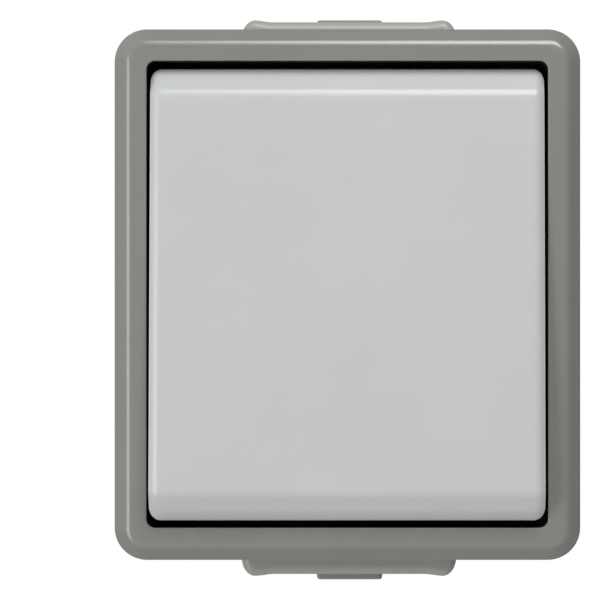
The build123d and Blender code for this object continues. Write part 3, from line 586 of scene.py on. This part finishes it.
# %% [markdown]
# ### Moulded plastics
#
# Three satin plastics meet on the outside: the dark warm grey of the frame, the light cool
# grey of the button and the light warm grey of the box. What the eye gets from the eroded
# mould is an even, slightly broken shine, and from the melt a very faint unevenness of the
# colour over a centimetre or so.

# %% Satin moulded plastic
def moulded(name, colour, cloudy, roughness, ior, grain=0.45, depth=0.0012, swing=0.01):
    """Satin plastic from a spark-eroded mould.

    The real grain is about 0.1 mm, under a pixel in the picture, so it is drawn at the
    given grain in millimetres. The colour drifts to cloudy over about 14 mm.
    """
    material, tree, shader, place = blank(name)
    cloud = add(
        tree, "ShaderNodeTexNoise", {"Scale": 1 / (14 * MM), "Detail": 2.0}, {"Vector": place}
    )
    drift = add(
        tree, "ShaderNodeMapRange", {"From Min": 0.35, "From Max": 0.65},
        {"Value": cloud.outputs["Fac"]},
    )
    tone = add(
        tree, "ShaderNodeMixRGB", {"Color1": linear(colour), "Color2": linear(cloudy)},
        {"Fac": drift.outputs["Result"]},
    )
    pits = add(
        tree, "ShaderNodeTexNoise",
        {"Scale": 1 / (grain * MM), "Detail": 3.0, "Roughness": 0.6}, {"Vector": place},
    )
    shine = add(
        tree, "ShaderNodeMapRange",
        {"To Min": roughness - swing, "To Max": roughness + swing},
        {"Value": pits.outputs["Fac"]},
    )
    bump = add(
        tree, "ShaderNodeBump", {"Strength": 0.5, "Distance": depth * MM},
        {"Height": pits.outputs["Fac"]},
    )
    tree.links.new(tone.outputs["Color"], shader.inputs["Base Color"])
    tree.links.new(shine.outputs["Result"], shader.inputs["Roughness"])
    tree.links.new(bump.outputs["Normal"], shader.inputs["Normal"])
    shader.inputs["IOR"].default_value = ior
    return material


frame_plastic = moulded("abs_spark_eroded_dark_warm_grey", "8b8984", "8d8b86", 0.22, 1.68)
button_plastic = moulded("abs_spark_eroded_light_cool_grey", "c8cbca", "cacdcc", 0.27, 1.53)
box_plastic = moulded("abs_moulded_light_warm_grey", "aeada8", "b0afaa", 0.36, 1.53)
insert_plastic = moulded("urea_moulded_off_white", "e6e4dc", "e9e7e0", 0.38, 1.55)
mechanism_plastic = moulded("acetal_moulded_white", "eeeeec", "f1f1ef", 0.3, 1.48)
print("plastics:", [material.name for material in bpy.data.materials])

# %% [markdown]
# ### Rubbers
#
# The lining, the gasket and the tray are a soft black thermoplastic rubber, matt from the
# fillers in it; on the lining the black is also painted shade for the gap round the button. The
# membranes in the spouts are the same kind of material in grey. Rubber scatters its shine
# widely, so its roughness is high and its grain soft.

# %% Soft rubber
def soft_rubber(name, colour, bloom, roughness):
    """Matt rubber: a wide shine, and a faint lighter bloom in patches of about 6 mm."""
    material, tree, shader, place = blank(name)
    patches = add(
        tree, "ShaderNodeTexNoise", {"Scale": 1 / (6 * MM), "Detail": 4.0}, {"Vector": place}
    )
    spread = add(
        tree, "ShaderNodeMapRange", {"From Min": 0.4, "From Max": 0.7},
        {"Value": patches.outputs["Fac"]},
    )
    tone = add(
        tree, "ShaderNodeMixRGB", {"Color1": linear(colour), "Color2": linear(bloom)},
        {"Fac": spread.outputs["Result"]},
    )
    skin = add(
        tree, "ShaderNodeTexNoise", {"Scale": 1 / (0.8 * MM), "Detail": 3.0}, {"Vector": place}
    )
    bump = add(
        tree, "ShaderNodeBump", {"Strength": 0.4, "Distance": 0.01 * MM},
        {"Height": skin.outputs["Fac"]},
    )
    shine = add(
        tree, "ShaderNodeMapRange", {"To Min": roughness - 0.06, "To Max": roughness + 0.06},
        {"Value": skin.outputs["Fac"]},
    )
    tree.links.new(tone.outputs["Color"], shader.inputs["Base Color"])
    tree.links.new(shine.outputs["Result"], shader.inputs["Roughness"])
    tree.links.new(bump.outputs["Normal"], shader.inputs["Normal"])
    shader.inputs["IOR"].default_value = 1.5
    return material


black_rubber = soft_rubber("tpe_moulded_black", "070707", "0b0b0b", 0.75)
membrane_rubber = soft_rubber("tpe_moulded_warm_grey", "96958f", "9a9993", 0.6)
print("rubbers:", black_rubber.name, membrane_rubber.name)

# %% [markdown]
# ### Metals of the insert
#
# The plate and the screws are steel with a bright zinc coat, the springs are drawn wire and
# the contacts pressed brass strip. Rolled and drawn metal has fine lines along one
# direction; the zinc coat has a slightly blotchy, bluish shine.

# %% Rolled, drawn and plated metal
def metal(name, colour, tarnish, roughness, stretch):
    """Metal with fine lines: noise squeezed across the rolling direction by stretch."""
    material, tree, shader, place = blank(name)
    squeezed = add(
        tree, "ShaderNodeMapping", {"Scale": (stretch, stretch, 1.0)}, {"Vector": place}
    )
    lines = add(
        tree, "ShaderNodeTexNoise", {"Scale": 1 / (1.5 * MM), "Detail": 4.0},
        {"Vector": squeezed.outputs["Vector"]},
    )
    blotches = add(
        tree, "ShaderNodeTexNoise", {"Scale": 1 / (4 * MM), "Detail": 2.0}, {"Vector": place}
    )
    spread = add(
        tree, "ShaderNodeMapRange", {"From Min": 0.35, "From Max": 0.7},
        {"Value": blotches.outputs["Fac"]},
    )
    tone = add(
        tree, "ShaderNodeMixRGB", {"Color1": linear(colour), "Color2": linear(tarnish)},
        {"Fac": spread.outputs["Result"]},
    )
    shine = add(
        tree, "ShaderNodeMapRange", {"To Min": roughness - 0.1, "To Max": roughness + 0.1},
        {"Value": lines.outputs["Fac"]},
    )
    bump = add(
        tree, "ShaderNodeBump", {"Strength": 0.3, "Distance": 0.004 * MM},
        {"Height": lines.outputs["Fac"]},
    )
    tree.links.new(tone.outputs["Color"], shader.inputs["Base Color"])
    tree.links.new(shine.outputs["Result"], shader.inputs["Roughness"])
    tree.links.new(bump.outputs["Normal"], shader.inputs["Normal"])
    shader.inputs["Metallic"].default_value = 1.0
    return material


zinc_steel = metal("steel_zinc_plated", "c9ccd2", "b9bec8", 0.32, 1.0)
spring_wire = metal("steel_drawn_spring_wire", "b4b4b8", "a6a6aa", 0.25, 5.0)
brass_strip = metal("brass_pressed_strip", "d8b465", "cda656", 0.28, 6.0)
print("metals:", zinc_steel.name, spring_wire.name, brass_strip.name)

# %% Give each piece its finish
FINISHES = {
    "frame_grey": frame_plastic,
    "button_grey": button_plastic,
    "box_grey": box_plastic,
    "black_rubber": black_rubber,
    "membrane_rubber": membrane_rubber,
    "insert_plastic": insert_plastic,
    "mechanism_plastic": mechanism_plastic,
    "zinc_steel": zinc_steel,
    "spring_steel": spring_wire,
    "contact_brass": brass_strip,
}
cover.data.materials.append(frame_plastic)
button.data.materials.append(button_plastic)
# On the lining this black is also painted shade for the gap round the button.
lining.data.materials.append(black_rubber)
for node, piece in copies.items():
    piece.data.materials.append(FINISHES[SLOTS[node]])
print(len(FINISHES), "finishes")

# %% [markdown]
# ## Camera
#
# The photograph looks straight at the wall from a little over 40 cm in front of the button,
# with the lens about 1 cm below the middle of the switch and half a centimetre to its right.
# A long lens and a small shift give the same framing without turning the camera, which would
# make the sides converge.

# %% Place the camera
SENSOR_WIDTH = 36.0
FOCAL_LENGTH = 178.79
SHIFT = (-0.135, 0.1242)
CAMERA_PLACE = (0.00476, -0.466, -0.01132)
camera_data = bpy.data.cameras.new("studio_camera")
camera_data.sensor_width = SENSOR_WIDTH
camera_data.lens = FOCAL_LENGTH
camera_data.shift_x, camera_data.shift_y = SHIFT
camera_data.clip_start = 0.01
camera_data.clip_end = 20.0
camera = bpy.data.objects.new("studio_camera", camera_data)
camera.location = CAMERA_PLACE
camera.rotation_euler = (np.radians(90), 0.0, 0.0)
bpy.context.scene.collection.objects.link(camera)
bpy.context.scene.camera = camera
print("camera at", [round(1000 * v, 1) for v in camera.location], "mm")

# %% [markdown]
# ## Studio
#
# The photograph is a pack shot on pure white. A white surround, brighter from the left, from
# above and from behind, lights the switch softly and brightens the bands of the cover; one
# soft box above and a little to the right draws the bright line along the crests, and a
# weaker one on the left draws the edge of the button. A pale floor lies well below, out of
# the picture.

# %% Surround and soft boxes
# The surround's even brightness, and for each lobe its axis, the end of the axis that it
# brightens towards and how much brighter the surround is there.
EVEN = 0.05
LOBES = [("X", -1.0, 0.4), ("Z", 1.0, 0.13), ("Y", 1.0, 0.2)]
world = bpy.data.worlds.new("white_surround")
world.use_nodes = True
sky = world.node_tree
sky.nodes.clear()
direction = add(sky, "ShaderNodeTexCoord").outputs["Generated"]
parts = add(sky, "ShaderNodeSeparateXYZ", links={"Vector": direction})
level = add(sky, "ShaderNodeMath", {"operation": "ADD", 0: EVEN, 1: 0.0}).outputs["Value"]
for axis, sign, weight in LOBES:
    lobe = add(
        sky, "ShaderNodeMapRange", {"From Min": 0.0, "From Max": sign, "To Max": weight},
        {"Value": parts.outputs[axis]},
    )
    level = add(
        sky, "ShaderNodeMath", {"operation": "ADD"}, {0: level, 1: lobe.outputs["Result"]}
    ).outputs["Value"]
lighting = add(sky, "ShaderNodeBackground", {"Color": (1, 1, 1, 1)}, {"Strength": level})
white = add(sky, "ShaderNodeBackground", {"Strength": 1.0, "Color": (1, 1, 1, 1)})
seen = add(sky, "ShaderNodeLightPath").outputs["Is Camera Ray"]
mixed = add(sky, "ShaderNodeMixShader", links={"Fac": seen})
sky.links.new(lighting.outputs["Background"], mixed.inputs[1])
sky.links.new(white.outputs["Background"], mixed.inputs[2])
add(sky, "ShaderNodeOutputWorld", links={"Surface": mixed.outputs["Shader"]})
bpy.context.scene.world = world
bpy.context.scene.view_settings.view_transform = "Standard"


def soft_box(name, place, width, height, watts):
    """A rectangular light that faces the middle of the switch."""
    light = bpy.data.lights.new(name, "AREA")
    light.shape = "RECTANGLE"
    light.size = width
    light.size_y = height
    light.energy = watts
    lamp = bpy.data.objects.new(name, light)
    lamp.location = place
    aim = -np.array(place) / np.linalg.norm(place)
    lamp.rotation_euler = (np.arccos(-aim[2]), 0.0, np.arctan2(aim[0], -aim[1]) + np.pi)
    bpy.context.scene.collection.objects.link(lamp)


soft_box("key_above", (0.18, -0.62, 0.62), 0.5, 0.5, 5.5)
soft_box("edge_left", (-0.6, -0.65, -0.1), 0.33, 0.6, 2.45)
print("surround:", EVEN, "with", len(LOBES), "lobes, and two soft boxes")

# %% Floor
FLOOR_BELOW = 450.0
FLOOR_RADIUS = 2200.0
FLOOR_SIDES = 96
floor_turn = np.linspace(0, 2 * np.pi, FLOOR_SIDES, endpoint=False)
floor_reach = np.array([0.0, FLOOR_RADIUS])[:, None]
floor_level = np.full((2, FLOOR_SIDES), -FLOOR_BELOW)
floor_grid = np.stack(
    [floor_reach * np.cos(floor_turn), floor_level, floor_reach * np.sin(floor_turn)], axis=-1
)
floor = piece_from_grids("studio_floor", [(floor_grid, True)])
paper, paper_tree, paper_shader, paper_place = blank("paper_floor_pale")
fibres = add(paper_tree, "ShaderNodeTexNoise", {"Scale": 60.0}, {"Vector": paper_place})
paper_tone = add(
    paper_tree, "ShaderNodeMixRGB", {"Color1": linear("ececea"), "Color2": linear("f0f0ee")},
    {"Fac": fibres.outputs["Fac"]},
)
paper_tree.links.new(paper_tone.outputs["Color"], paper_shader.inputs["Base Color"])
paper_shader.inputs["Roughness"].default_value = 0.9
floor.data.materials.append(paper)
floor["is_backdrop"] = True

# %% [markdown]
# ## Close the notebook
#
# Dressing the switch must not change its size, so the box of the CAD model and that of the
# dressed one are set side by side, and the dressed box is printed.

# %% Set the sizes side by side
dressed_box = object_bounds()
sizes = {
    "cad": [[float(v) for v in corner] for corner in cad_box],
    "dressed": [[float(v) for v in corner] for corner in dressed_box],
}
in_mm = [[round(1000 * v, 2) for v in corner] for corner in sizes["dressed"]]
print("dressed box in mm:", in_mm)
